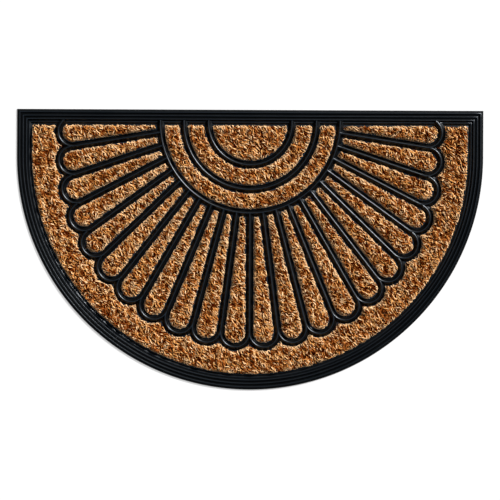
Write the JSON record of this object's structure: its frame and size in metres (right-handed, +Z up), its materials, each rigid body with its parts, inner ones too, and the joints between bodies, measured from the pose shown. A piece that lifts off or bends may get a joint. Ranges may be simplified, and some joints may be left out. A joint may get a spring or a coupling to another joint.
{
  "type": "coir doormat",
  "caption": "Flat half-round doormat: a black moulded rubber frame and beads with pads of coir pile between them, laid out as a fan of round-ended petals under half rings.",
  "frame": {"origin": "on the surface the mat lies on, under the middle of its bounding box", "axes": "+X to the right along the straight edge, +Y towards the straight edge, +Z up out of the pile"},
  "size_m": [0.762, 0.4572, 0.012],
  "materials": {
    "rubber": "moulded black rubber, satin",
    "coir": "natural golden brown coir fibre pile"
  },
  "bodies": {
    "root": {"rubber_moulding": "rubber", "coir_petal_01": "coir", "coir_petal_02": "coir", "coir_petal_03": "coir", "coir_petal_04": "coir", "coir_petal_05": "coir", "coir_petal_06": "coir", "coir_petal_07": "coir", "coir_petal_08": "coir", "coir_petal_09": "coir", "coir_petal_10": "coir", "coir_petal_11": "coir", "coir_petal_12": "coir", "coir_petal_13": "coir", "coir_petal_14": "coir", "coir_petal_15": "coir", "coir_petal_16": "coir", "coir_petal_17": "coir", "coir_petal_18": "coir", "coir_petal_19": "coir", "coir_petal_20": "coir", "coir_petal_21": "coir", "coir_petal_22": "coir", "coir_half_disc": "coir", "coir_inner_band": "coir", "coir_outer_band": "coir", "coir_border": "coir"}
  },
  "joints": []
}
